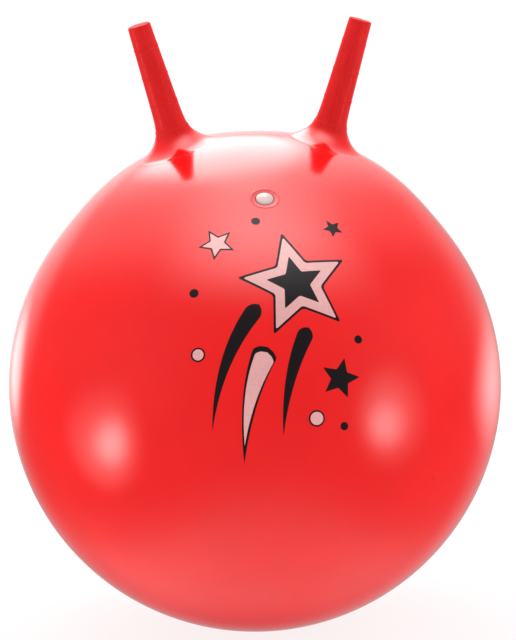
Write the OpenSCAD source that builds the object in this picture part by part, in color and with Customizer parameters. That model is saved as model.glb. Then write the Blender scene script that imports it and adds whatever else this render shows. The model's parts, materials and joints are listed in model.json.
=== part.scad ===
// Hopper ball: an inflated soft ball with two hollow horns to hold and a push-in air plug.
// The ball stands on its flat with its front towards -Y, its left horn at -X and +Z up.

/* [Ball] */
// Radius of the inflated ball round its middle
ball_r = 250; // [200:1:300]
// Thickness of the ball's skin
skin_wall = 1; // [0.8:0.1:2]
// Width of the flat that the ball makes on the floor
rest_flat_d = 90; // [60:1:120]
// How far the skin is drawn up where a horn leaves the ball
crown_rise = 10; // [5:0.5:14]
// Angle round a horn's root within which the skin is drawn up
crown_reach = 28.9; // [27:0.1:31]

/* [Horns] */
// Angle between the vertical and the line from the ball's centre to a horn's root
root_angle = 16.7; // [15:0.1:24]
// Angle at which a horn leans outwards from the vertical
horn_lean = 16.5; // [8:0.1:22]
// Length of a horn from the top of its flare to its tip
horn_len = 111; // [95:1:150]
// Width of a horn at the top of its flare
root_d = 35; // [31:0.5:40]
// Width of a horn's straight sides, carried down to the top of its flare
side_d = 30.2; // [24:0.1:31]
// Width of a horn at its tip
tip_d = 23; // [18:0.1:24]
// Length over which a horn widens towards its flare
widen_len = 7; // [5:0.5:20]
// Radius of the hollow curve with which the skin runs up into a horn
flare_r = 34; // [20:1:40]
// Thickness of a horn's wall
horn_wall = 3; // [2:0.1:4]
// Thickness of the closed end of a horn
tip_wall = 4; // [2:0.5:8]
// Radius of the rounded edge of a horn's tip
tip_round = 1.6; // [0.8:0.1:2]
// Length of the soft root, in which a horn bends
root_len = 24; // [16:1:26]
// Width of the thin skin that a horn's base keeps round its flare
base_lip = 3; // [2:0.5:6]

/* [Grip rings] */
// Number of faint rings round a grip
ring_count = 3; // [1:1:3]
// Distance from the tip to the first ring
ring_inset = 24; // [12:1:26]
// Distance from the last ring to the soft root
ring_foot = 5; // [4:1:10]
// Width of a ring
ring_w = 3; // [2:0.1:4]
// Height of a ring above the grip
ring_h = 0.4; // [0.2:0.1:0.8]

/* [Valve] */
// Angle between the vertical and the line from the ball's centre to the valve
valve_tilt = 30.6; // [26:0.1:60]
// Width of the thick boss that fills the hole in the skin
boss_d = 26; // [23:0.5:32]
// Width of the flange that is welded to the skin from inside
flange_d = 36; // [34:0.5:44]
// Thickness of the flange
flange_t = 2; // [1:0.1:4]
// Width of the sleeve that reaches into the ball
sleeve_d = 14; // [12:0.5:18]
// Length of the sleeve, from the ball's surface
sleeve_len = 16; // [14:0.5:22]
// Width of the air hole
air_hole_d = 8; // [6:0.1:9]
// Depth of the round recess that the plug's head sits in
recess_depth = 1.5; // [0.8:0.1:2.5]

/* [Plug] */
// Width of the plug's head
head_d = 17; // [14:0.1:20]
// Height of the straight edge of the head
head_edge = 2; // [1:0.1:3]
// Height of the dome on the head
head_dome = 2.4; // [1:0.1:4]
// Gap all round the head in its recess
head_gap = 0.6; // [0.3:0.1:1]
// Gap all round the stem's ribs in the air hole
stem_gap = 0.05; // [0.02:0.01:0.1]
// Depth of the grooves between the ribs
groove_depth = 0.6; // [0.3:0.1:1]
// Number of sealing ribs round the stem
rib_count = 3; // [1:1:3]
// Width of a rib
rib_w = 1.8; // [1:0.1:2.4]
// Distance from one rib to the next
rib_pitch = 3.6; // [3:0.1:4]
// Length of the tapered nose below the last rib
nose_len = 3; // [1:0.5:4]
// Width of the nose's end
nose_d = 4.4; // [3:0.1:5]

/* [Hidden] */
$fn = 96;
// Facets round the large circles in the outlines of the valve seat and the horns' bases
fine_facets = 720;

// Which side of the ball a horn is on
LEFT = -1;
RIGHT = 1;

// Overrun of every cut past the surface that it opens
cut = 1;
// How far the flare's hollow curve dips under the skin that it runs into
flare_dip = 0.15;
// Steps along a curved outline
widen_steps = 10;
round_steps = 5;

// Height of the ball's centre over the floor
centre_h = sqrt(pow(ball_r, 2) - pow(rest_flat_d / 2, 2));

// The drawn-up skin is part of a smaller sphere, set out from the centre towards the horn
crown_offset =
    crown_rise * (2 * ball_r + crown_rise)
    / (2 * (ball_r * (1 - cos(crown_reach)) + crown_rise));
crown_r = ball_r + crown_rise - crown_offset;

// Slope of a horn's side at the top of its flare, measured from its axis
root_slope = atan((side_d - tip_d) / 2 / horn_len + (root_d - side_d) / 2 / widen_len);
// Centre of the flare's hollow curve, out from the line through the root and along it
flare_x = root_d / 2 + flare_r * cos(root_slope);
flare_z = crown_offset + sqrt(pow(crown_r + flare_r - flare_dip, 2) - pow(flare_x, 2));
// Distance from the ball's centre to the top of the flare
flare_top = flare_z - flare_r * sin(root_slope);
// Distance from the line through the root at which the hollow curve meets the skin
flare_edge = flare_x * crown_r / (crown_r + flare_r);
// Radius of a horn's base
base_r = flare_edge + base_lip;

// Distance from one ring to the next
ring_pitch = (horn_len - root_len - ring_inset - ring_foot) / max(ring_count - 1, 1);

// Levels in the valve, from the ball's centre: the recess's floor, the flange's flat
// side and the sleeve's end
recess_d = head_d + 2 * head_gap;
recess_floor = sqrt(pow(ball_r, 2) - pow(recess_d / 2, 2)) - recess_depth;
flange_floor = sqrt(pow(ball_r - skin_wall, 2) - pow(flange_d / 2, 2)) - flange_t;
sleeve_end = ball_r - sleeve_len;

// The plug's stem, its ribs and the sphere that its dome is part of
rib_d = air_hole_d - 2 * stem_gap;
stem_d = rib_d - 2 * groove_depth;
stem_len = rib_count * rib_pitch;
dome_r = (pow(head_d / 2, 2) + pow(head_dome, 2)) / (2 * head_dome);

// Half of a horn's width at a distance t from the top of its flare
function horn_r(t) =
    tip_d / 2
    + (side_d - tip_d) / 2 * (1 - t / horn_len)
    + (root_d - side_d) / 2 * exp(-t / widen_len);

// Points up a horn's side, from t0 to t1, with the given part of the wall taken off
function side_points(t0, t1, steps, inset) = [
    for (i = [0 : steps]) let (t = t0 + (t1 - t0) * i / steps) [horn_r(t) - inset, t]
];

// Points round the edge of a horn's tip
function tip_points() = [
    for (i = [0 : round_steps]) let (a = 90 * i / round_steps) [
        horn_r(horn_len) - tip_round * (1 - cos(a)),
        horn_len - tip_round * (1 - sin(a))
    ]
];

// Places a piece at the ball's centre
module at_centre() {
    translate([0, 0, centre_h]) children();
}

// Turns a piece so that its Z runs from the ball's centre to a horn's root
module towards_root(side) {
    rotate([0, side * root_angle, 0]) children();
}

// Places a piece on the top of a flare, with its Z along the horn
module on_flare(side) {
    translate([side * flare_top * sin(root_angle), 0, flare_top * cos(root_angle)])
        rotate([0, side * horn_lean, 0])
            children();
}

// Turns a piece so that its Z runs from the ball's centre to the valve
module towards_valve() {
    rotate([valve_tilt, 0, 0]) children();
}

// The ball's form, with the given wall taken off all round
module ball_form(wall) {
    difference() {
        union() {
            sphere(r = ball_r - wall);
            for (side = [LEFT, RIGHT])
                towards_root(side) translate([0, 0, crown_offset]) sphere(r = crown_r - wall);
        }
        translate([0, 0, wall - centre_h - ball_r]) cylinder(r = ball_r, h = ball_r);
    }
}

// Half of a section through a horn's base, with one wall taken off its skin and one off its flare
module base_section(skin, flare) {
    intersection() {
        translate([0, crown_offset]) circle(r = crown_r - skin, $fn = fine_facets);
        translate([0, crown_r]) square([base_r, flare_top - crown_r]);
    }
    difference() {
        translate([0, crown_r]) square([flare_edge, flare_top - crown_r + root_d / 2]);
        translate([flare_x, flare_z]) circle(r = flare_r + flare);
    }
}

// The soft skin of the ball, with round places for the horns' bases and the valve
module ball_skin() {
    color("#e8352f")
        at_centre() difference() {
            ball_form(0);
            ball_form(skin_wall);
            for (side = [LEFT, RIGHT]) towards_root(side) cylinder(r = base_r, h = flare_top);
            towards_valve() cylinder(d = boss_d, h = ball_r + cut);
        }
}

// The flared base of a horn, where its thick wall runs out into the thin skin
module horn_base(side) {
    color("#e0312d")
        at_centre() difference() {
            towards_root(side) rotate_extrude() difference() {
                base_section(0, 0);
                base_section(skin_wall, horn_wall);
            }
            on_flare(side) cylinder(r = flare_x, h = root_d);
        }
}

// The soft root of a horn, which bends when the grip is pulled
module horn_root(side) {
    color("#dc2f2c")
        at_centre() on_flare(side)
            rotate_extrude() polygon(concat(
                side_points(0, root_len, widen_steps, 0),
                side_points(root_len, 0, widen_steps, horn_wall)
            ));
}

// The stiffer upper part of a horn that the hand holds, closed at its tip
module grip(side) {
    color("#d42a28")
        at_centre() on_flare(side) {
            rotate_extrude() polygon(concat(
                side_points(root_len, horn_len - tip_round, widen_steps, 0),
                tip_points(),
                [[0, horn_len], [0, horn_len - tip_wall]],
                side_points(horn_len - tip_wall, root_len, widen_steps, horn_wall)
            ));
            for (i = [0 : ring_count - 1]) grip_ring(horn_len - ring_inset - i * ring_pitch);
        }
}

// One faint ring round a grip at a distance t from the top of the flare
module grip_ring(t) {
    rotate_extrude()
        translate([horn_r(t) - ring_w / 2 + ring_h, t]) circle(d = ring_w);
}

// The thick valve seat: a boss in the skin's hole, a flange inside and a sleeve
module valve_seat() {
    color("#dc2f2c")
        at_centre() towards_valve() rotate_extrude() difference() {
            union() {
                intersection() {
                    circle(r = ball_r, $fn = fine_facets);
                    translate([0, flange_floor]) square([boss_d / 2, ball_r]);
                }
                intersection() {
                    circle(r = ball_r - skin_wall, $fn = fine_facets);
                    translate([0, flange_floor]) square([flange_d / 2, ball_r]);
                }
                translate([0, sleeve_end])
                    square([sleeve_d / 2, flange_floor + flange_t / 2 - sleeve_end]);
            }
            translate([0, sleeve_end - cut]) square([air_hole_d / 2, ball_r]);
            translate([0, recess_floor]) square([recess_d / 2, ball_r]);
        }
}

// The push-in plug: a domed head on a ribbed stem with a tapered nose
module valve_plug() {
    color("#f4efec")
        at_centre() towards_valve() translate([0, 0, recess_floor]) {
            cylinder(d = head_d, h = head_edge);
            intersection() {
                translate([0, 0, head_edge + head_dome - dome_r]) sphere(r = dome_r);
                cylinder(d = head_d, h = head_edge + head_dome + cut);
            }
            translate([0, 0, -stem_len]) cylinder(d = stem_d, h = stem_len + head_edge / 2);
            for (i = [1 : rib_count])
                translate([0, 0, -i * rib_pitch]) cylinder(d = rib_d, h = rib_w);
            translate([0, 0, -stem_len - nose_len])
                cylinder(d1 = nose_d, d2 = rib_d, h = nose_len);
        }
}

ball_skin();
horn_base(LEFT);  // left_horn_base
horn_base(RIGHT);  // right_horn_base
horn_root(LEFT);  // left_horn_root
horn_root(RIGHT);  // right_horn_root
grip(LEFT);  // left_grip
grip(RIGHT);  // right_grip
valve_seat();
valve_plug();
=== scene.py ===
"""Hopper ball: an inflated glossy vinyl ball with two hollow horns, a push-in air plug and a star print."""

import json
import math

import bmesh
import bpy
from bpy.props import FloatProperty, FloatVectorProperty, IntProperty, PointerProperty
from mathutils import Matrix, Vector


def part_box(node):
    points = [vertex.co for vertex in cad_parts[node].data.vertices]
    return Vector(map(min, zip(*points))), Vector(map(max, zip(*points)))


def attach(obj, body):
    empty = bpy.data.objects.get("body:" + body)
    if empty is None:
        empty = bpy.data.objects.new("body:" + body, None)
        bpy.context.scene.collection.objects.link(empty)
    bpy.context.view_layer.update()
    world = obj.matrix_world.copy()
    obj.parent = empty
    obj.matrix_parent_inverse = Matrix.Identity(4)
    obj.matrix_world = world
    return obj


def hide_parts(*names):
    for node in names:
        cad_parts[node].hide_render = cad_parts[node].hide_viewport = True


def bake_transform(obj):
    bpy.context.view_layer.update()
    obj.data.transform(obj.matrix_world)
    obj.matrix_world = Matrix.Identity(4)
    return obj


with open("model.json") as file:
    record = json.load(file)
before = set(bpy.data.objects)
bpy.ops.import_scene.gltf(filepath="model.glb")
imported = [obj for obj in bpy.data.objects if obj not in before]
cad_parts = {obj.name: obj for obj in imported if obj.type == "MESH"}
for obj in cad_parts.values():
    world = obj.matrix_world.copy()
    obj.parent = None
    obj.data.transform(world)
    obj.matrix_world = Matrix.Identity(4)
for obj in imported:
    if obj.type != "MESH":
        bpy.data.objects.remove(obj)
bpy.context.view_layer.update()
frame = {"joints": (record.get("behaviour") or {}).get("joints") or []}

bl_info = {
    "name": "Hopper Ball",
    "version": (1, 0, 0),
    "blender": (4, 5, 0),
    "location": "3D View > Sidebar > Hopper Ball",
    "description": "Models a hopper ball with its horns, valve and print, and the stage that it stands on",
    "category": "Add Mesh",
}

IMAGE_SIZE = Vector((516, 640))
MM = 0.001
UP = Vector((0, 0, 1))
SIDES = {"left": -1, "right": 1}
DARK, PALE = 0, 1
WIDE_STEPS, PLUG_STEPS = 96, 72
STAR_POINTS, STAR_WAIST = 5, 0.46
SCUFF_PLACE, SCUFF_REACH = (0.155, -0.188, 0.191), 2.2 * MM
WAVE_SIZE, WAVE_DEPTH = 120 * MM, 0.25 * MM

# The floor is paper mixed with a white glow, which the camera sees as an even white and which lights the ball as
# painted light:
# how bright that glow is in the light that the floor bounces, with painted shade in a spot before the ball, and how
# much of it there is in what the floor bounces and in what the camera sees.
FLOOR_RADIUS = 8
FLOOR_GLOW, FLOOR_SHADE_SPOT, FLOOR_SHADE_REACH = 1.5, (0, -1.1, 0), 1.0
FLOOR_GLOW_SHARE, FLOOR_WHITE_SEEN = 0.4, 0.85
SOFTBOX_PLACE, SOFTBOX_SIZE, SOFTBOX_RADIANCE = (-0.2, 1.26, 1.5), (1.2, 1.7), 4.5

# The world is made of soft patches. Each has an azimuth, in degrees from straight behind the ball towards the
# right, an elevation in degrees, how narrow and how flat it is, its inner and outer reach, and its radiance.
# The light on the ball's colours is the same all round, but for less from the front and more from the sides.
PLAIN = 1.16
FILLS = {
    "front": (180, 5, 1, 1, 0.2, 1.1, -1.1),
    "left": (-90, 0, 1, 1, 0.3, 1.1, 0.75),
    "right": (90, 5, 1, 1, 0.3, 1.1, 0.9),
}
# The ball's gloss shows a dim studio, darker below the horizon than above it, and the lights and fills in it.
STUDIO_BELOW, STUDIO_ABOVE, HORIZON = 0.07, 0.15, 0.2
GLOWS = {
    "softbox": (-3.5, 41.4, 2.09, 1.69, 0.407, 0.757, 3.96),
    "round the softbox": (-3.3, 58.2, 1.23, 1.18, 0, 1.2, 3.46),
    "overhead fill": (156.2, 79.7, 0.71, 0.35, 0.051, 0.575, 3.3),
    "back fill, left": (-14.5, 1, 0.87, 1.59, 0.321, 0.574, 0.51),
    "back fill, right": (18, -6.7, 0.63, 0.9, 0.229, 0.723, 0.35),
    "left lamp": (-104.8, -16.6, 2.89, 1.08, 0, 0.279, 6.37),
    "round the left lamp": (-102.7, -18.3, 3, 1.02, 0.053, 0.519, 2.5),
    "right lamp": (124.4, -9.8, 3, 1.96, 0, 0.424, 4.3),
    "round the right lamp": (124, -6.7, 3, 1.63, 0.085, 0.681, 2.27),
    "left strip light": (-26.8, -8, 0.35, 0.77, 0.04, 0.123, 1.86),
    "right strip light": (48.2, -10.2, 0.35, 1.73, 0, 0.337, 1.79),
    "low front fill": (183.7, -51.2, 0.99, 0.35, 0.8, 1.708, 0.27),
    "floor fill": (174.7, -90, 1.26, 0.38, 0.025, 1.06, 2.33),
    "shade under the ball": (12.3, -82, 1.56, 0.46, 0.108, 0.92, -1.5),
}

JOINTS = {joint["name"]: joint for joint in frame["joints"]}
ROOT = Vector(JOINTS["right_horn_fore_aft"]["pos_m"])
BEND = Vector(JOINTS["right_horn_sideways"]["pos_m"])
PULL = Vector(JOINTS["plug_pull"]["axis"])
BALL_LOW, BALL_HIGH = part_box("ball_skin")
BALL_RADIUS = (BALL_HIGH.x - BALL_LOW.x) / 2
FLAT_WIDTH = 90 * MM
MIDDLE = Vector((0, 0, math.sqrt(BALL_RADIUS**2 - (FLAT_WIDTH / 2) ** 2)))


def length(name, default, description):
    """A size in metres."""
    return FloatProperty(
        name=name, description=description, default=default, min=0, unit="LENGTH", subtype="DISTANCE"
    )


def angle(name, degrees, description):
    """An angle, kept in radians and given in degrees."""
    return FloatProperty(
        name=name, description=description, default=math.radians(degrees), unit="ROTATION", subtype="ANGLE"
    )


def colour(name, default, description):
    """A linear colour."""
    return FloatVectorProperty(
        name=name, description=description, default=(*default, 1), size=4, min=0, max=1, subtype="COLOR"
    )


def tilt_of(direction):
    """Angle in degrees between a direction and the vertical."""
    return math.degrees(direction.angle(UP))


class HopperBallSizes(bpy.types.PropertyGroup):
    """Ball"""

    radius: length("Radius", BALL_RADIUS, "Radius of the ball round its middle")
    wall: length("Skin", 1 * MM, "Thickness of the skin")
    flat_width: length("Flat", FLAT_WIDTH, "Width of the flat that the ball rests on")
    crown_rise: length("Crown rise", 10 * MM, "How far the skin is drawn up where a horn leaves it")
    crown_reach: angle("Crown reach", 28.9, "Angle round a horn's root within which the skin is drawn up")
    crown_blend: length("Crown blend", 2 * MM, "How softly the drawn-up skin runs into the ball")
    saddle_rise: length("Saddle", 2 * MM, "How far the skin between the horns is drawn up")
    saddle_reach: angle("Saddle reach", 14, "Angle over which the saddle falls away")
    fineness: IntProperty(name="Fineness", description="Subdivisions of the ball", default=7, min=3, max=7)


class HopperHornSizes(bpy.types.PropertyGroup):
    """Horns"""

    root_angle: angle("Root angle", tilt_of(ROOT - MIDDLE), "Angle from the vertical to a horn's root")
    lean: angle("Lean", tilt_of(BEND - ROOT), "Angle at which a horn leans outwards")
    length: length("Length", 111 * MM, "Length of a horn from the top of its flare to its tip")
    root_length: length("Soft root", (BEND - ROOT).length, "Length of the soft root, in which a horn bends")
    root_width: length("Root width", 35 * MM, "Width at the top of the flare")
    side_width: length("Side width", 30.2 * MM, "Width of the straight sides, carried down to the flare")
    tip_width: length("Tip width", 23 * MM, "Width at the tip")
    widening: length("Widening", 7 * MM, "Length over which a horn widens towards its flare")
    flare_radius: length("Flare", 34 * MM, "Radius of the hollow curve at a horn's foot")
    flare_dip: length("Flare dip", 0.15 * MM, "How far the hollow curve dips under the skin")
    rim: length("Rim", 5 * MM, "Width of the thin rim round the flare that lies on the skin")
    lap: length("Lap", 2 * MM, "How far the rim laps over the edge of the skin")
    wall: length("Wall", 3 * MM, "Thickness of a horn's wall")
    tip_wall: length("Tip wall", 4 * MM, "Thickness of the closed end")
    tip_round: length("Tip round", 1.6 * MM, "Radius of the rounded edge of the tip")
    ring_count: IntProperty(name="Rings", description="Number of moulded rings", default=3, min=2, max=5)
    ring_inset: length("First ring", 24 * MM, "Distance from the tip to the first ring")
    ring_foot: length("Last ring", 5 * MM, "Distance from the last ring to the soft root")
    ring_width: length("Ring width", 3 * MM, "Width of a moulded ring")
    ring_height: length("Ring height", 0.35 * MM, "Height of a moulded ring")
    bead_place: length("Bead", 2 * MM, "Distance from the top of the flare to the bead round the root")
    bead_height: length("Bead height", 0.45 * MM, "Height of the bead")
    bead_width: length("Bead width", 3.5 * MM, "Width of the bead")
    # The horns' deeper colour is painted shade for the less light that reaches the horns; it comes in at this height
    # over the ball.
    deep_shade_height: length("Deep colour", 17 * MM, "Height over the ball at which the horns' deeper colour starts")
    deep_shade_blend: length("Colour blend", 9 * MM, "Height over which the deeper colour comes in")


class HopperValveSizes(bpy.types.PropertyGroup):
    """Valve and plug"""

    tilt: angle("Tilt", tilt_of(PULL), "Angle from the vertical to the valve")
    boss_width: length("Boss", 26 * MM, "Width of the thick boss in the skin's hole")
    lip_width: length("Lip", 29 * MM, "Width of the low lip that laps over the skin")
    lip_height: length("Lip height", 0.35 * MM, "Height of the lip over the skin")
    flange_width: length("Flange", 36 * MM, "Width of the flange inside the skin")
    flange_depth: length("Flange depth", 2 * MM, "Thickness of the flange")
    sleeve_width: length("Sleeve", 14 * MM, "Width of the sleeve that reaches into the ball")
    sleeve_length: length("Sleeve length", 16 * MM, "Length of the sleeve from the ball's surface")
    hole_width: length("Air hole", 8 * MM, "Width of the air hole")
    recess_depth: length("Recess", 1.5 * MM, "Depth of the recess that the head sits in")
    head_width: length("Head", 17 * MM, "Width of the plug's head")
    head_gap: length("Head gap", 0.6 * MM, "Gap round the head in its recess")
    head_edge: length("Head edge", 2 * MM, "Height of the head's straight edge")
    head_dome: length("Head dome", 2.4 * MM, "Height of the dome on the head")
    stem_width: length("Stem", 6.7 * MM, "Width of the stem between its ribs")
    rib_width: length("Rib width", 7.9 * MM, "Width of the stem over its ribs")
    rib_height: length("Rib height", 1.8 * MM, "Height of a rib")
    rib_pitch: length("Rib pitch", 3.6 * MM, "Distance from one rib to the next")
    rib_count: IntProperty(name="Ribs", description="Number of sealing ribs", default=3, min=1, max=3)
    nose_length: length("Nose", 3 * MM, "Length of the tapered nose")
    nose_width: length("Nose end", 4.4 * MM, "Width of the nose's end")
    pip_height: length("Pip height", 0.3 * MM, "Height of the moulded pips on the head")
    pip_width: length("Pip width", 2.4 * MM, "Width of a pip")
    pip_inset: length("Pip inset", 2 * MM, "Distance from the middle of the head to a pip")


class HopperPrintSizes(bpy.types.PropertyGroup):
    """Print"""

    tilt: angle("Tilt", 65.1, "Angle from the vertical to the middle of the print")
    lift: length("Lift", 0.1 * MM, "Height of the first ink over the skin")
    coat: length("Coat", 0.03 * MM, "Height of each further ink over the one below it")
    depth: length("Depth", 0.25 * MM, "How far the film reaches into the skin")
    grain: length("Grain", 5 * MM, "Longest edge in the film's mesh")


class HopperColours(bpy.types.PropertyGroup):
    """Colours"""

    skin: colour("Skin", (0.87, 0.003, 0.003), "Red of the thin inflated skin")
    # The horns' deeper red is painted shade over the vinyl's red, for the less light that reaches the horns.
    horn: colour("Horns", (0.68, 0.018, 0.019), "Deeper red of the horns' thick vinyl")
    seat: colour("Valve seat", (0.62, 0.01, 0.01), "Red of the valve seat")
    plug: colour("Plug", (0.61, 0.46, 0.44), "White of the air plug")
    ink_dark: colour("Dark ink", (0.009, 0.006, 0.007), "Black of the print")
    ink_pale: colour("Pale ink", (0.78, 0.4, 0.39), "Pale pink of the print")
    scuff: colour("Scuff", (0.55, 0.02, 0.02), "Red of the small scuff on the skin")
    floor: colour("Floor", (0.9, 0.89, 0.9), "Pale floor")


class HopperStage(bpy.types.PropertyGroup):
    """Stage"""

    distance: length("Distance", 3.4, "From the ball's centre to the camera")
    azimuth: angle("Azimuth", -5.4, "Angle of the camera round the object")
    elevation: angle("Elevation", 13.2, "Angle of the camera over the ball's centre")
    roll: angle("Roll", -0.78, "Turn of the camera about its own axis")
    scale: FloatProperty(name="Scale", description="Pixels per metre at the ball's centre", default=981.3)
    middle: FloatVectorProperty(
        name="Middle", description="Pixels from the image's left and top edges to the ball's centre",
        default=(254.9, 385.35), size=2,
    )


GROUPS = {
    "hopper_ball": HopperBallSizes,
    "hopper_horn": HopperHornSizes,
    "hopper_valve": HopperValveSizes,
    "hopper_print": HopperPrintSizes,
    "hopper_colours": HopperColours,
    "hopper_stage": HopperStage,
}


def smooth_step(x):
    """0 before 0, 1 after 1 and smooth in between."""
    x = min(max(x, 0), 1)
    return x * x * (3 - 2 * x)


def between(start, end, count):
    """Evenly spaced numbers from start to end, both kept."""
    return [start + (end - start) * i / count for i in range(count + 1)]


def bump(off, width):
    """A smooth bump one high, which has fallen to a seventh at half its width from the middle."""
    steepness = 8
    return math.exp(-steepness * (off / width) ** 2)


def sideways(tilt):
    """Direction tilted from the vertical to the right."""
    return Vector((math.sin(tilt), 0, math.cos(tilt)))


def forwards(tilt):
    """Direction tilted from the vertical to the front."""
    return Vector((0, -math.sin(tilt), math.cos(tilt)))


class Form:
    """The ball's outer form and the places on it, worked out once from the sizes."""

    def __init__(self, scene):
        ball, horn = scene.hopper_ball, scene.hopper_horn
        self.radius, self.wall, self.blend = ball.radius, ball.wall, ball.crown_blend
        self.saddle_rise, self.saddle_reach = ball.saddle_rise, ball.saddle_reach
        self.deep_shade_height, self.deep_shade_blend = horn.deep_shade_height, horn.deep_shade_blend
        self.centre = Vector((0, 0, math.sqrt(ball.radius**2 - (ball.flat_width / 2) ** 2)))
        drop = ball.radius * (1 - math.cos(ball.crown_reach))
        self.crown_offset = ball.crown_rise * (2 * ball.radius + ball.crown_rise) / (2 * (drop + ball.crown_rise))
        self.crown_radius = ball.radius + ball.crown_rise - self.crown_offset
        self.roots = {s: sideways(s * horn.root_angle) for s in SIDES.values()}
        self.leans = {s: sideways(s * horn.lean) for s in SIDES.values()}
        self.valve_axis = forwards(scene.hopper_valve.tilt)

        # A horn's flare is a hollow arc, from the slope of the horn's side to just under the drawn-up skin.
        taper = (horn.side_width - horn.tip_width) / 2 / horn.length
        slope = math.atan(taper + (horn.root_width - horn.side_width) / 2 / horn.widening)
        self.flare_out = horn.root_width / 2 + horn.flare_radius * math.cos(slope)
        reach = self.crown_radius + horn.flare_radius - horn.flare_dip
        height = self.crown_offset + math.sqrt(reach**2 - self.flare_out**2)
        self.flare_top = height - horn.flare_radius * math.sin(slope)
        self.flare_height = height - self.flare_top
        self.flare_start = math.pi + slope
        self.flare_end = 2 * math.pi + math.atan2(self.crown_offset - height, -self.flare_out)
        self.flare_edge = self.flare_out + horn.flare_radius * math.cos(self.flare_end)
        self.seats = {s: self.centre + root * self.flare_top for s, root in self.roots.items()}

    def crown_distance(self, direction, side):
        """Distance from the centre to the sphere of the skin that is drawn up towards one horn."""
        along = self.crown_offset * direction.dot(self.roots[side])
        return along + math.sqrt(along * along + self.crown_radius**2 - self.crown_offset**2)

    def distance(self, direction):
        """Distance from the centre to the outside of the skin, in a unit direction."""
        forms = (self.radius, self.crown_distance(direction, -1), self.crown_distance(direction, 1))
        highest = max(forms)
        total = sum(math.exp((form - highest) / self.blend) for form in forms)
        fall = math.acos(min(max(direction.z, -1), 1)) / self.saddle_reach
        return highest + self.blend * math.log(total) + self.saddle_rise * math.exp(-fall * fall)

    def on_skin(self, direction, lift=0):
        """Point on the skin in a direction, lifted off it."""
        direction = direction.normalized()
        return self.centre + direction * (self.distance(direction) + lift)

    def normal(self, direction):
        """Direction that the skin faces where a direction meets it."""
        direction, step = direction.normalized(), 0.004
        across = direction.orthogonal().normalized() * step
        along = direction.cross(across)
        rise = self.on_skin(direction + across) - self.on_skin(direction - across)
        run = self.on_skin(direction + along) - self.on_skin(direction - along)
        return rise.cross(run).normalized()

    def crown_height(self, x):
        """Height of the drawn-up skin at a distance x from the root's line, from the top of the flare."""
        return self.crown_offset + math.sqrt(self.crown_radius**2 - x**2) - self.flare_top

    def thickness(self, place):
        """0 on the thin skin and 1 where the vinyl is a horn's thick wall, which also brings in the horns' painted
        shade.
        """
        height = (place - self.centre).length - self.radius
        return smooth_step((height - self.deep_shade_height) / self.deep_shade_blend)


def horn_radius(horn, t):
    """Half of a horn's width at a distance t from the top of its flare."""
    taper = (horn.side_width - horn.tip_width) / 2 * (1 - t / horn.length)
    widening = (horn.root_width - horn.side_width) / 2 * math.exp(-t / horn.widening)
    return horn.tip_width / 2 + taper + widening


def spun(outline, steps):
    """A mesh spun about Z from an outline of (distance from the axis, height) points.
    An outline that doesn't start on the axis is closed."""
    mesh = bmesh.new()
    verts = [mesh.verts.new((x, 0, z)) for x, z in outline]
    edges = [mesh.edges.new(pair) for pair in zip(verts, verts[1:])]
    if outline[0][0] > 0:
        edges.append(mesh.edges.new((verts[-1], verts[0])))
    bmesh.ops.spin(
        mesh, geom=verts + edges, cent=(0, 0, 0), axis=UP, angle=2 * math.pi, steps=steps, use_merge=True
    )
    bmesh.ops.remove_doubles(mesh, verts=mesh.verts, dist=0.001 * MM)
    bmesh.ops.recalc_face_normals(mesh, faces=mesh.faces)
    return mesh


def keep_places(mesh, name):
    """Stores where each vertex is now, for a pattern that stays on the piece when it bends."""
    layer = mesh.verts.layers.float_vector.new(name)
    for vert in mesh.verts:
        vert[layer] = vert.co


def keep_thickness(mesh, form):
    """Stores how thick the vinyl is at each vertex, from 0 to 1, which also sets where the horns' painted shade
    lies.
    """
    layer = mesh.verts.layers.float.new("thickness")
    for vert in mesh.verts:
        vert[layer] = form.thickness(vert.co)


def thicken(mesh, depth_of):
    """Closes an open surface into a wall, by a copy of it moved in by a depth at each vertex."""
    made = bmesh.ops.extrude_face_region(mesh, geom=mesh.faces[:], use_keep_orig=True)["geom"]
    for vert in made:
        if isinstance(vert, bmesh.types.BMVert):
            vert.co -= depth_of(vert.co)
    bmesh.ops.recalc_face_normals(mesh, faces=mesh.faces)


def added(mesh, name, *materials, sharp=35):
    """Turns a mesh into a smooth-shaded object whose edges stay sharp past an angle in degrees."""
    for face in mesh.faces:
        face.smooth = True
    for edge in mesh.edges:
        edge.smooth = len(edge.link_faces) == 2 and edge.calc_face_angle(0) < math.radians(sharp)
    data = bpy.data.meshes.new(name)
    mesh.to_mesh(data)
    mesh.free()
    for material in materials:
        data.materials.append(material)
    piece = bpy.data.objects.new(name, data)
    bpy.context.scene.collection.objects.link(piece)
    return piece


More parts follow.
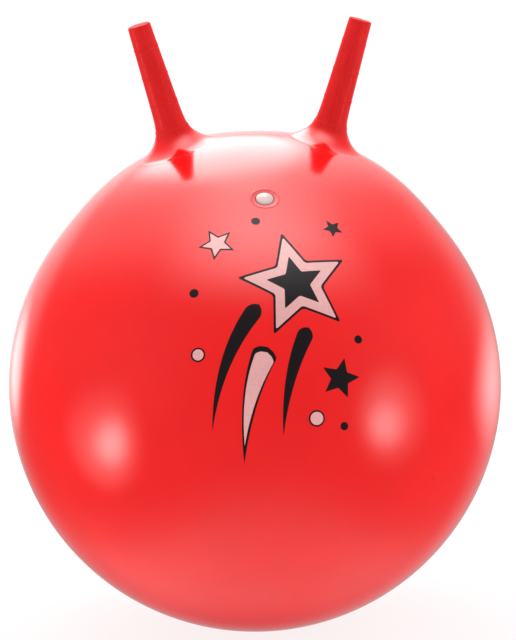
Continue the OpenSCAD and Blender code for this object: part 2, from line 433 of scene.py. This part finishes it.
class Nodes:
    """Short ways to add nodes to a tree."""

    def __init__(self, tree):
        self.tree = tree

    def put(self, socket, value):
        """Links a socket to another, or sets its value."""
        if isinstance(value, bpy.types.NodeSocket):
            self.tree.links.new(value, socket)
        else:
            socket.default_value = value

    def node(self, kind, *inputs):
        """A node of a kind, with values or links for its first inputs in order."""
        made = self.tree.nodes.new("ShaderNode" + kind)
        for socket, value in zip(made.inputs, inputs):
            self.put(socket, value)
        return made

    def place(self):
        """Object coordinates."""
        return self.node("TexCoord").outputs["Object"]

    def stored(self, name, output):
        """A value stored on the mesh."""
        made = self.node("Attribute")
        made.attribute_name = name
        return made.outputs[output]

    def spread(self, value, from_low, from_high, low, high, way="LINEAR"):
        """A value carried from one range to another and held within it."""
        made = self.node("MapRange", value, from_low, from_high, low, high)
        made.interpolation_type = way
        return made.outputs[0]

    def noise(self, place, size, low, high, detail=2, stretch=(1, 1, 1)):
        """Noise whose lumps have a size in metres, spread from low to high."""
        scale = [1 / size / one for one in stretch]
        mapping = self.node("Mapping", place)
        mapping.inputs["Scale"].default_value = scale
        noise = self.node("TexNoise")
        self.put(noise.inputs["Vector"], mapping.outputs[0])
        noise.inputs["Scale"].default_value = 1
        noise.inputs["Detail"].default_value = detail
        usual_low, usual_high = 0.3, 0.7
        return self.spread(noise.outputs[0], usual_low, usual_high, low, high)

    def maths(self, operation, first, second):
        """Two values put together."""
        made = self.node("Math", first, second)
        made.operation = operation
        return made.outputs[0]

    def vectors(self, operation, first, second, output="Vector"):
        """Two vectors put together."""
        made = self.node("VectorMath", first, second)
        made.operation = operation
        return made.outputs[output]

    def near(self, place, point, reach):
        """1 round a point, 0 past a reach from it."""
        core = 0.3 * reach
        return self.spread(self.vectors("DISTANCE", place, point, "Value"), reach, core, 0, 1)

    def glow(self, heading, azimuth, elevation, wide, high, inner, outer, radiance):
        """Light from about one direction, full within an inner reach and fading out at an outer one."""
        level, turn = math.radians(elevation), math.radians(azimuth)
        aim = (math.cos(level) * math.sin(turn), math.cos(level) * math.cos(turn), math.sin(level))
        off = self.vectors("MULTIPLY", self.vectors("SUBTRACT", heading, aim), (wide, 1, high))
        reach = self.vectors("LENGTH", off, (0, 0, 0), "Value")
        return self.spread(reach, outer, inner, 0, radiance, "SMOOTHSTEP")

    def scaled(self, base, factor):
        """A colour made lighter or darker by a factor."""
        made = self.node("VectorMath", base if isinstance(base, bpy.types.NodeSocket) else base[:3])
        made.operation = "SCALE"
        self.put(made.inputs["Scale"], factor)
        return made.outputs[0]

    def mixed(self, factor, first, second):
        """A colour between two."""
        made = self.node("MixRGB", factor, first, second)
        return made.outputs[0]

    def relief(self, height, depth):
        """A normal from a height of 0 to 1 and its depth in metres."""
        made = self.node("Bump")
        made.inputs["Strength"].default_value = 1
        made.inputs["Distance"].default_value = depth
        self.put(made.inputs["Height"], height)
        return made.outputs[0]


class Shade(Nodes):
    """A new material and its nodes."""

    def __init__(self, name):
        self.material = bpy.data.materials.new(name)
        self.material.use_nodes = True
        super().__init__(self.material.node_tree)
        self.shader = self.tree.nodes["Principled BSDF"]

    def set(self, **inputs):
        """Sets or links inputs of the shader by name."""
        for name, value in inputs.items():
            self.put(self.shader.inputs[name.replace("_", " ")], value)

    def gloss(self, weight, normal):
        """A clear gloss of a given weight over a base that hardly shines, both with the same relief."""
        self.set(Specular_IOR_Level=0.02, Normal=normal, Coat_Weight=weight, Coat_Roughness=0.14, Coat_Normal=normal)


def vinyl(name, colours):
    """Soft vinyl: bright with a clear gloss where it is thin, and satin with faint streaks from the mould where it
    is thick, where it is also painted a deeper red as painted shade for the less light that reaches the horns."""
    shade = Shade(name)
    place, own = shade.stored("rest_place", "Vector"), shade.stored("own_place", "Vector")
    thickness = shade.stored("thickness", "Fac")
    clouds = shade.noise(place, 70 * MM, 0.97, 1.03)
    streaks = shade.noise(own, 3.5 * MM, 0.9, 1.07, detail=3, stretch=(1, 1, 9))
    flecks = shade.noise(own, 2.5 * MM, 0.95, 1.04)
    scuff = shade.near(place, SCUFF_PLACE, SCUFF_REACH)
    thin = shade.mixed(shade.maths("MULTIPLY", scuff, flecks), shade.scaled(colours.skin, clouds), colours.scuff)
    # Painted shade: the thick vinyl takes the horns' deeper red, which stands in for the less light on them.
    thick = shade.scaled(shade.scaled(colours.horn, clouds), shade.maths("MULTIPLY", streaks, flecks))
    mottle = shade.noise(place, 11 * MM, -0.02, 0.02, detail=3)
    haze = shade.maths("ADD", shade.spread(thickness, 0, 1, 0.42, 0.46), mottle)
    grain = shade.noise(own, 1.8 * MM, 0, 0.03)
    waves = shade.maths("ADD", shade.noise(place, WAVE_SIZE, 0, 1, detail=1), grain)
    shade.set(Base_Color=shade.mixed(thickness, thin, thick), Roughness=haze)
    shade.gloss(shade.spread(thickness, 0, 1, 1, 0.1), shade.relief(waves, WAVE_DEPTH))
    return shade.material


def ink(name, base, gloss):
    """Printing ink with a faint mottle and its own share of the gloss of the vinyl that it lies on."""
    shade = Shade(name)
    place = shade.place()
    clouds = shade.noise(place, 50 * MM, 0.96, 1.04)
    flecks = shade.noise(place, 2.5 * MM, 0.95, 1.05, detail=3)
    shade.set(
        Base_Color=shade.scaled(base, shade.maths("MULTIPLY", clouds, flecks)),
        Roughness=shade.noise(place, 11 * MM, 0.4, 0.44, detail=3),
    )
    shade.gloss(gloss, shade.relief(shade.noise(place, WAVE_SIZE, 0, 1, detail=1), WAVE_DEPTH))
    return shade.material


def moulded(name, base, rough):
    """Moulded plastic of one colour with a faint mottle and grain."""
    shade = Shade(name)
    place = shade.place()
    shade.set(
        Base_Color=shade.scaled(base, shade.noise(place, 6 * MM, 0.94, 1.04, detail=3)),
        Roughness=shade.noise(place, 3 * MM, rough - 0.04, rough + 0.05),
        Normal=shade.relief(shade.noise(place, 1.2 * MM, 0, 1), 0.015 * MM),
    )
    return shade.material


def off_axis(vert, form, direction):
    """Distance of a vertex from a line out of the ball's centre, endless behind the centre."""
    place = vert.co - form.centre
    along = place.dot(direction)
    return (place - direction * along).length if along > 0 else math.inf


def refine(mesh, form, direction, radius):
    """Halves the edges of the skin within a radius of a direction and lays the new points on the skin."""
    near = {vert for vert in mesh.verts if off_axis(vert, form, direction) < radius}
    edges = [edge for edge in mesh.edges if all(vert in near for vert in edge.verts)]
    bmesh.ops.subdivide_edges(mesh, edges=edges, cuts=1, use_grid_fill=True)
    bmesh.ops.triangulate(mesh, faces=[face for face in mesh.faces if len(face.verts) > 3])
    for vert in mesh.verts:
        if off_axis(vert, form, direction) < radius:
            vert.co = form.on_skin(vert.co - form.centre)


def open_hole(mesh, form, direction, radius):
    """Opens a round hole in the skin about a direction, with the vertices at its edge moved onto it."""
    inside = {vert for vert in mesh.verts if off_axis(vert, form, direction) < radius}
    gone = [face for face in mesh.faces if all(vert in inside for vert in face.verts)]
    bmesh.ops.delete(mesh, geom=gone, context="FACES")
    near = 1.5 * radius
    edge_verts = [vert for vert in mesh.verts if vert.is_boundary and off_axis(vert, form, direction) < near]
    for vert in edge_verts:
        place = vert.co - form.centre
        out = (place - direction * place.dot(direction)).normalized()
        tilt = math.asin(radius / place.length)
        vert.co = form.on_skin(direction * math.cos(tilt) + out * math.sin(tilt))
    bmesh.ops.remove_doubles(mesh, verts=edge_verts, dist=radius / 50)


class HOPPER_OT_skin(bpy.types.Operator):
    """Makes the ball's skin, open where the horns and the valve stand in it"""

    bl_idname = "hopper.make_skin"
    bl_label = "Make Skin"

    def execute(self, context):
        scene, form = context.scene, Form(context.scene)
        horn, valve = scene.hopper_horn, scene.hopper_valve
        mesh = bmesh.new()
        bmesh.ops.create_icosphere(mesh, subdivisions=scene.hopper_ball.fineness, radius=1)
        for vert in mesh.verts:
            vert.co = form.on_skin(vert.co)
        cut = bmesh.ops.bisect_plane(
            mesh, geom=mesh.verts[:] + mesh.edges[:] + mesh.faces[:], plane_co=(0, 0, 0), plane_no=-UP,
            clear_outer=True, dist=0.01 * MM,
        )
        rim = [item for item in cut["geom_cut"] if isinstance(item, bmesh.types.BMEdge)]
        bmesh.ops.contextual_create(mesh, geom=rim)
        for root in form.roots.values():
            open_hole(mesh, form, root, form.flare_edge + horn.rim - horn.lap)
        for share in (1.2, 0.8):
            refine(mesh, form, form.valve_axis, share * valve.flange_width)
        open_hole(mesh, form, form.valve_axis, valve.boss_width / 2)
        bmesh.ops.recalc_face_normals(mesh, faces=mesh.faces)
        thicken(mesh, lambda place: (place - form.centre) * form.wall / form.radius)
        keep_thickness(mesh, form)
        keep_places(mesh, "own_place")
        keep_places(mesh, "rest_place")
        skin = added(mesh, "skin", vinyl("skin_vinyl", scene.hopper_colours))
        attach(skin, "ball")
        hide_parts("ball_skin")
        return {"FINISHED"}


def horn_foot(form, horn):
    """Closed outline of a horn's flare and soft root, with its Z at the top of the flare."""
    over, dip = 0.05 * MM, 0.3 * MM  # how far the rim stands over the skin, and how far its edge goes under

    def arc(wall_at_rim, wall_at_root):
        """The flare's hollow curve, moved in by a wall that thickens towards the root."""
        points = []
        for share in between(0, 1, 28):
            turn = form.flare_end + (form.flare_start - form.flare_end) * share
            reach = horn.flare_radius + wall_at_rim + (wall_at_root - wall_at_rim) * share
            points.append((form.flare_out + reach * math.cos(turn), form.flare_height + reach * math.sin(turn)))
        return points

    rim = form.flare_edge + horn.rim
    heights = between(0, horn.root_length, 32)[1:]
    outside = [(rim, form.crown_height(rim) - dip)]
    outside += [(x, form.crown_height(x) + over) for x in between(rim - 1 * MM, form.flare_edge, 4)[:-1]]
    outside += [(x, max(z, form.crown_height(x) + over)) for x, z in arc(0, 0)]
    outside += [
        (horn_radius(horn, t) + horn.bead_height * bump(t - horn.bead_place, horn.bead_width), t) for t in heights
    ]
    inside = [(horn_radius(horn, t) - horn.wall, t) for t in reversed(heights)]
    return outside + inside + arc(form.wall, horn.wall)[::-1]


def horn_grip(horn):
    """Outline of the stiffer upper part of a horn, from the soft root to its closed tip."""
    rings = between(horn.root_length + horn.ring_foot, horn.length - horn.ring_inset, horn.ring_count - 1)
    straight_end = horn.length - horn.tip_round
    outside = []
    for t in between(horn.root_length, straight_end, 112):
        ring = horn.ring_height * sum(bump(t - place, horn.ring_width) for place in rings)
        outside.append((horn_radius(horn, t) + ring, t))
    edge = horn_radius(horn, horn.length) - horn.tip_round
    for turn in between(0, math.pi / 2, 6)[1:]:
        outside.append((edge + horn.tip_round * math.cos(turn), straight_end + horn.tip_round * math.sin(turn)))
    floor = horn.length - horn.tip_wall
    outside += [(edge / 2, horn.length), (0, horn.length), (0, floor)]
    return outside + [(horn_radius(horn, t) - horn.wall, t) for t in between(floor, horn.root_length, 12)]


class HOPPER_OT_horns(bpy.types.Operator):
    """Makes both horns, each as a flared foot that bends and a grip"""

    bl_idname = "hopper.make_horns"
    bl_label = "Make Horns"

    def execute(self, context):
        form, horn = Form(context.scene), context.scene.hopper_horn
        material = vinyl("horn_vinyl", context.scene.hopper_colours)
        for name, side in SIDES.items():
            seat, line = form.seats[side], form.leans[side]
            foot = self.make_piece(
                name + "_horn_foot", horn_foot(form, horn), form, material,
                lambda point: self.settled(point, form, horn, side),
            )
            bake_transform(foot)
            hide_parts(name + "_horn_base", name + "_horn_root")
            turn = Matrix.Translation(seat) @ Matrix.Rotation(side * horn.lean, 4, "Y")
            grip = self.make_piece(
                name + "_horn_grip", horn_grip(horn), form, material, lambda point: turn @ point
            )
            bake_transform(grip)
            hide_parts(name + "_grip")
        return {"FINISHED"}

    def make_piece(self, name, outline, form, material, place_of):
        """A spun piece with each of its points put in its place."""
        mesh = spun(outline, WIDE_STEPS)
        keep_places(mesh, "own_place")
        for vert in mesh.verts:
            vert.co = place_of(vert.co)
        keep_places(mesh, "rest_place")
        keep_thickness(mesh, form)
        piece = added(mesh, name, material)
        return piece

    def settled(self, point, form, horn, side):
        """Place of a point of a horn's foot, turned from the horn's own line to the root's line the further
        down it is, with its rim laid on the skin."""
        weight = smooth_step(-point.z / (horn.root_length / 2))
        tilt = horn.lean + (horn.root_angle - horn.lean) * weight
        place = form.seats[side] + Matrix.Rotation(side * tilt, 3, "Y") @ point
        direction = (place - form.centre).normalized()
        return place + direction * (form.distance(direction) - form.crown_distance(direction, side)) * weight


class HOPPER_OT_valve(bpy.types.Operator):
    """Makes the valve seat and the air plug in it"""

    bl_idname = "hopper.make_valve"
    bl_label = "Make Valve"

    def execute(self, context):
        form, valve, colours = Form(context.scene), context.scene.hopper_valve, context.scene.hopper_colours
        recess = valve.head_width / 2 + valve.head_gap
        floor = math.sqrt(form.radius**2 - recess**2) - valve.recess_depth
        turn = Matrix.Translation(form.centre) @ Matrix.Rotation(valve.tilt, 4, "X")
        self.make_seat(form, valve, colours, recess, floor, turn)
        self.make_plug(valve, colours, turn @ Matrix.Translation((0, 0, floor)))
        return {"FINISHED"}

    def make_seat(self, form, valve, colours, recess, floor, turn):
        """The boss with its recess and lip, the flange and the sleeve."""

        def at(x, rise=0):
            """A point at a distance from the axis, over the ball's surface by a rise."""
            return x, math.sqrt(form.radius**2 - x**2) + rise

        boss, lip, flange = valve.boss_width / 2, valve.lip_width / 2, valve.flange_width / 2
        hole, sleeve = valve.hole_width / 2, valve.sleeve_width / 2
        soft, under = 0.3 * MM, -1.02 * form.wall  # a softened edge, and just under the skin
        flange_floor = math.sqrt((form.radius - form.wall) ** 2 - flange**2) - valve.flange_depth
        sleeve_end = form.radius - valve.sleeve_length
        outline = [(hole, sleeve_end), (hole, floor - soft), (hole + soft, floor)]
        outline += [(recess - soft, floor), (recess, floor + soft), at(recess, -soft), at(recess + soft)]
        outline += [at(x) for x in between(recess + 2 * soft, boss - 2 * soft, 3)]
        outline += [at(boss - soft / 2, valve.lip_height * 0.6), at((boss + lip) / 2, valve.lip_height)]
        outline += [at(lip - soft, valve.lip_height * 0.5), at(lip, -soft / 2)]
        outline += [at(boss - soft, under / 2), at(boss - soft, under), at(flange, under)]
        outline += [(flange, flange_floor), (sleeve, flange_floor), (sleeve, sleeve_end)]
        mesh = spun(outline, WIDE_STEPS)
        bmesh.ops.transform(mesh, matrix=turn, verts=mesh.verts)
        for vert in mesh.verts:
            direction = (vert.co - form.centre).normalized()
            outer = (vert.co - form.centre).length > form.radius - form.wall
            weight = smooth_step((off_axis(vert, form, form.valve_axis) - recess) / (boss - recess)) * outer
            vert.co += direction * (form.distance(direction) - form.radius) * weight
        seat = added(mesh, "valve_boss", moulded("seat_vinyl", colours.seat, 0.3))
        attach(seat, "ball")
        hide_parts("valve_seat")

    def make_plug(self, valve, colours, turn):
        """The domed head with its moulded pips, the ribbed stem and the nose."""
        half, edge = valve.head_width / 2, valve.head_edge
        dome = (half**2 + valve.head_dome**2) / (2 * valve.head_dome)
        stem, rib, soft = valve.stem_width / 2, valve.rib_width / 2, 0.2 * MM
        outline = [
            (x, edge + valve.head_dome - dome + math.sqrt(dome**2 - x**2)) for x in between(0, half - soft, 20)
        ]
        outline += [(half, edge - soft), (half, 2 * soft), (half - 2 * soft, 0), (stem, 0)]
        for i in range(1, valve.rib_count + 1):
            low = -i * valve.rib_pitch
            top = low + valve.rib_height
            outline += [(stem, top + soft), (rib - soft, top), (rib, top - soft), (rib, low + soft)]
            outline += [(rib - soft, low), (stem, low - soft)] if i < valve.rib_count else [(rib - soft, low)]
        end = -valve.rib_count * valve.rib_pitch - valve.nose_length
        outline += [(valve.nose_width / 2, end), (0, end)]
        mesh = spun(outline, PLUG_STEPS)
        inset = Vector((valve.pip_inset, 0, 0))
        pips = [Matrix.Rotation(math.radians(45 + 90 * i), 3, "Z") @ inset for i in range(4)]
        for vert in mesh.verts:
            if vert.co.z > edge:
                flat = Vector((vert.co.x, vert.co.y, 0))
                vert.co.z += valve.pip_height * sum(bump((flat - pip).length, valve.pip_width) for pip in pips)
        bmesh.ops.transform(mesh, matrix=turn, verts=mesh.verts)
        plug = added(mesh, "air_plug", moulded("plug_plastic", colours.plug, 0.3))
        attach(plug, "plug")
        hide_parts("valve_plug")


class HOPPER_OT_print(bpy.types.Operator):
    """Makes the print on the front: a large star with three tails, and small stars and dots round it"""

    bl_idname = "hopper.make_print"
    bl_label = "Make Print"

    def execute(self, context):
        form, sizes, colours = Form(context.scene), context.scene.hopper_print, context.scene.hopper_colours
        self.mesh, self.sizes = bmesh.new(), sizes
        self.band(((-15, 27), (-57, -20), (-66, -92)), 17, DARK)
        self.band(((-9, -15), (-33, -58), (-36, -126)), 25, DARK)
        self.band(((-10, -20), (-31, -56), (-35, -108)), 20, PALE, 1)
        self.band(((31, 3), (6, -42), (3, -100)), 16, DARK)
        for size, kind, level in ((57, DARK, 1), (51.5, PALE, 2), (29, DARK, 3)):
            self.star((22, 48), size, 10, kind, level)
        self.star((-52, 96), 19, 24, DARK)
        self.star((-52, 96), 15, 24, PALE, 1)
        self.star((60, -46), 20, -14, DARK)
        self.star((66, 112), 11, 30, DARK)
        for place, size in (((-77, 44), 4.5), ((-12, 120), 4.5), ((80, -8), 4), ((64, -92), 4)):
            self.dot(place, size, DARK)
        for place, size in (((36, -84), 8), ((-76, -18), 7)):
            self.dot(place, size, DARK)
            self.dot(place, size - 1.6, PALE, 1)
        self.lay(form)
        inks = ink("ink_dark", colours.ink_dark, 0.3), ink("ink_pale", colours.ink_pale, 0.9)
        film = added(self.mesh, "print_film", *inks)
        self.face_with_skin(film.data, form)
        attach(film, "ball")
        return {"FINISHED"}

    def motif(self, verts, place, kind, level):
        """Puts a flat motif in its place and colours it. It lies as high as the inks below it are thick."""
        bmesh.ops.translate(self.mesh, vec=(place[0] * MM, place[1] * MM, level * self.sizes.coat), verts=verts)
        faces = {face for vert in verts for face in vert.link_faces}
        for face in faces:
            face.material_index = kind
        bmesh.ops.poke(self.mesh, faces=[face for face in faces if len(face.verts) > 4])

    def star(self, place, size, turn, kind, level=0):
        """A star with five points and rounded corners; sizes in millimetres and degrees."""
        corners, radius = 2 * STAR_POINTS, size * MM
        verts = bmesh.ops.create_circle(self.mesh, segments=corners, radius=radius, cap_ends=True)["verts"]
        for vert in verts:
            if round(math.atan2(vert.co.x, vert.co.y) * corners / (2 * math.pi)) % 2:
                vert.co *= STAR_WAIST
        bmesh.ops.rotate(self.mesh, matrix=Matrix.Rotation(math.radians(turn), 3, "Z"), verts=verts)
        verts = bmesh.ops.bevel(
            self.mesh, geom=verts, offset=0.05 * radius, offset_type="OFFSET", segments=4, profile=0.5,
            affect="VERTICES", material=-1,
        )["verts"]
        self.motif(verts, place, kind, level)

    def dot(self, place, size, kind, level=0):
        """A round dot; sizes in millimetres."""
        verts = bmesh.ops.create_circle(self.mesh, segments=32, radius=size * MM, cap_ends=True)["verts"]
        self.motif(verts, place, kind, level)

    def band(self, bends, width, kind, level=0):
        """A band with a round end and a pointed one, along a curve through bends; sizes in millimetres."""
        first, second, third = (Vector((x * MM, y * MM, 0)) for x, y in bends)
        verts = bmesh.ops.create_grid(self.mesh, x_segments=48, y_segments=2, size=1)["verts"]
        for vert in verts:
            s, across = (vert.co.x + 1) / 2, vert.co.y
            half = width / 2 * MM * (1 - s**1.3) * min(1, math.sqrt(s / 0.07))
            along = (second - first) * (1 - s) + (third - second) * s
            point = first * (1 - s) ** 2 + second * 2 * s * (1 - s) + third * s * s
            vert.co = point + Vector((-along.y, along.x, 0)).normalized() * half * across
        self.motif(verts, (0, 0), kind, level)

    def lay(self, form):
        """Makes the flat motifs fine enough to bend, lays them on the skin and gives them their depth."""
        mesh, sizes = self.mesh, self.sizes
        bmesh.ops.remove_doubles(mesh, verts=mesh.verts, dist=0.002 * MM)
        long = mesh.edges[:]
        while long:
            long = [edge for edge in mesh.edges if edge.calc_length() > sizes.grain]
            bmesh.ops.subdivide_edges(mesh, edges=long, cuts=1)
            bmesh.ops.triangulate(mesh, faces=[face for face in mesh.faces if len(face.verts) > 3])
        axis = forwards(sizes.tilt)
        upwards = Vector((0, axis.z, -axis.y))
        for vert in mesh.verts:
            x, y, level = vert.co
            reach = math.hypot(x, y) / form.radius
            out = Vector((x, upwards.y * y, upwards.z * y)).normalized()
            vert.co = form.on_skin(axis * math.cos(reach) + out * math.sin(reach), sizes.lift + level)
        thicken(mesh, lambda place: (place - form.centre).normalized() * (sizes.lift + sizes.depth))

    def face_with_skin(self, data, form):
        """Gives the top of the film the skin's own normals, so that a reflection runs over it unbroken."""
        normals = [Vector((0, 0, 0))] * len(data.loops)
        known, outwards = {}, 0.9
        for face in data.polygons:
            if face.normal.dot((face.center - form.centre).normalized()) < outwards:
                continue
            for loop in face.loop_indices:
                index = data.loops[loop].vertex_index
                if index not in known:
                    known[index] = form.normal(data.vertices[index].co - form.centre)
                normals[loop] = known[index]
        data.normals_split_custom_set(normals)


class HOPPER_OT_stage(bpy.types.Operator):
    """Makes the camera, the floor, the world and the softbox"""

    bl_idname = "hopper.make_stage"
    bl_label = "Make Stage"

    def execute(self, context):
        form = Form(context.scene)
        self.make_camera(context.scene, form, context.scene.hopper_stage)
        self.make_floor(context.scene.hopper_colours)
        self.make_world(context.scene)
        self.make_softbox(context.scene)
        context.scene.view_settings.view_transform = "Standard"
        return {"FINISHED"}

    def make_camera(self, scene, form, stage):
        """The camera, turned so that the ball's centre falls where the photograph has it."""
        az, el = stage.azimuth, stage.elevation
        back = Vector((math.sin(az) * math.cos(el), -math.cos(az) * math.cos(el), math.sin(el)))
        right = UP.cross(back).normalized()
        turn = Matrix((right, back.cross(right), back)).transposed() @ Matrix.Rotation(stage.roll, 3, "Z")
        pixels = stage.scale * stage.distance
        off = (IMAGE_SIZE / 2 - Vector(stage.middle)) / pixels
        turn = turn @ Matrix.Rotation(math.atan(-off.y), 3, "X") @ Matrix.Rotation(math.atan(-off.x), 3, "Y")
        data = bpy.data.cameras.new("photo_camera")
        data.lens = pixels * data.sensor_width / IMAGE_SIZE.y  # the image's longer side spans the sensor
        data.clip_start, data.clip_end = 0.05, 100
        camera = bpy.data.objects.new("photo_camera", data)
        scene.collection.objects.link(camera)
        camera.matrix_world = Matrix.Translation(form.centre + back * stage.distance) @ turn.to_4x4()
        scene.camera = camera

    def make_floor(self, colours):
        """A pale round floor that runs into the white behind it and keeps the ball's shadow. The ball's gloss
        shows the world's fills in its place."""
        mesh = bmesh.new()
        bmesh.ops.create_circle(mesh, cap_ends=True, radius=FLOOR_RADIUS, segments=96)
        shade = Shade("floor_paper")
        rays = shade.node("LightPath").outputs
        place = shade.place()
        tone = shade.noise(place, 300 * MM, 0.98, 1.02)
        shade.set(Base_Color=shade.scaled(colours.floor, tone), Roughness=0.8)
        # Painted light: the floor glows white onto the ball, with painted shade in a spot before it; to the camera
        # the glow is an even white.
        white = shade.node("Emission")
        glow_strength = shade.maths("SUBTRACT", FLOOR_GLOW, shade.near(place, FLOOR_SHADE_SPOT, FLOOR_SHADE_REACH))
        shade.put(white.inputs["Strength"], shade.spread(rays["Is Camera Ray"], 0, 1, glow_strength, 1))
        share = shade.spread(rays["Is Camera Ray"], 0, 1, FLOOR_GLOW_SHARE, FLOOR_WHITE_SEEN)
        mix = shade.node("MixShader", share, shade.shader.outputs[0], white.outputs[0])
        shade.put(shade.tree.nodes["Material Output"].inputs["Surface"], mix.outputs[0])
        floor = added(mesh, "floor", shade.material)
        floor.visible_glossy = False

    def make_world(self, scene):
        """White to the camera, a plain light all round, and to the ball's gloss the studio that it stands in."""
        world = bpy.data.worlds.new("studio")
        scene.world = world
        world.use_nodes = True
        nodes = Nodes(world.node_tree)
        rays = nodes.node("LightPath").outputs
        heading = nodes.node("TexCoord").outputs["Generated"]
        height = nodes.node("SeparateXYZ", heading).outputs["Z"]
        studio, plain = nodes.spread(height, -HORIZON, HORIZON, STUDIO_BELOW, STUDIO_ABOVE, "SMOOTHSTEP"), PLAIN
        for numbers in GLOWS.values():
            studio = nodes.maths("ADD", studio, nodes.glow(heading, *numbers))
        for numbers in FILLS.values():
            plain = nodes.maths("ADD", plain, nodes.glow(heading, *numbers))
        light = nodes.spread(rays["Is Glossy Ray"], 0, 1, plain, nodes.maths("MAXIMUM", studio, 0))
        background = world.node_tree.nodes["Background"]
        background.inputs["Color"].default_value = (1, 1, 1, 1)
        nodes.put(background.inputs["Strength"], nodes.spread(rays["Is Camera Ray"], 0, 1, light, 1.0))
        world.cycles.sampling_method = "NONE"

    def make_softbox(self, scene):
        """A large oval softbox over and behind the ball, facing down. The ball's gloss shows the world's own
        softbox in its place."""
        light = bpy.data.lights.new("top_softbox", "AREA")
        light.shape = "ELLIPSE"
        light.size, light.size_y = SOFTBOX_SIZE
        area = math.prod(SOFTBOX_SIZE) * math.pi / 4
        light.energy = SOFTBOX_RADIANCE * math.pi * area
        softbox = bpy.data.objects.new("top_softbox", light)
        scene.collection.objects.link(softbox)
        softbox.location = SOFTBOX_PLACE
        softbox.visible_camera = softbox.visible_glossy = False


class HOPPER_PT_panel(bpy.types.Panel):
    """Lists the ball's pieces and their sizes"""

    bl_idname = "HOPPER_PT_panel"
    bl_label = "Hopper Ball"
    bl_space_type = "VIEW_3D"
    bl_region_type = "UI"
    bl_category = "Hopper Ball"

    def draw(self, context):
        for operator in OPERATORS:
            self.layout.operator(operator.bl_idname)
        for name, group in GROUPS.items():
            box = self.layout.box()
            box.label(text=group.__doc__)
            for field in group.__annotations__:
                box.prop(getattr(context.scene, name), field)


OPERATORS = (HOPPER_OT_stage, HOPPER_OT_skin, HOPPER_OT_horns, HOPPER_OT_valve, HOPPER_OT_print)
CLASSES = (*GROUPS.values(), *OPERATORS, HOPPER_PT_panel)


def register():
    """Registers the classes and gives the scene their settings."""
    for one in CLASSES:
        bpy.utils.register_class(one)
    for name, group in GROUPS.items():
        setattr(bpy.types.Scene, name, PointerProperty(type=group))


def unregister():
    """Takes the settings and the classes away again."""
    for name in GROUPS:
        delattr(bpy.types.Scene, name)
    for one in reversed(CLASSES):
        bpy.utils.unregister_class(one)


def main():
    """Makes the whole model in order."""
    register()
    bpy.ops.hopper.make_stage()
    bpy.ops.hopper.make_skin()
    bpy.ops.hopper.make_horns()
    bpy.ops.hopper.make_valve()
    bpy.ops.hopper.make_print()


if __name__ == "__main__":
    main()
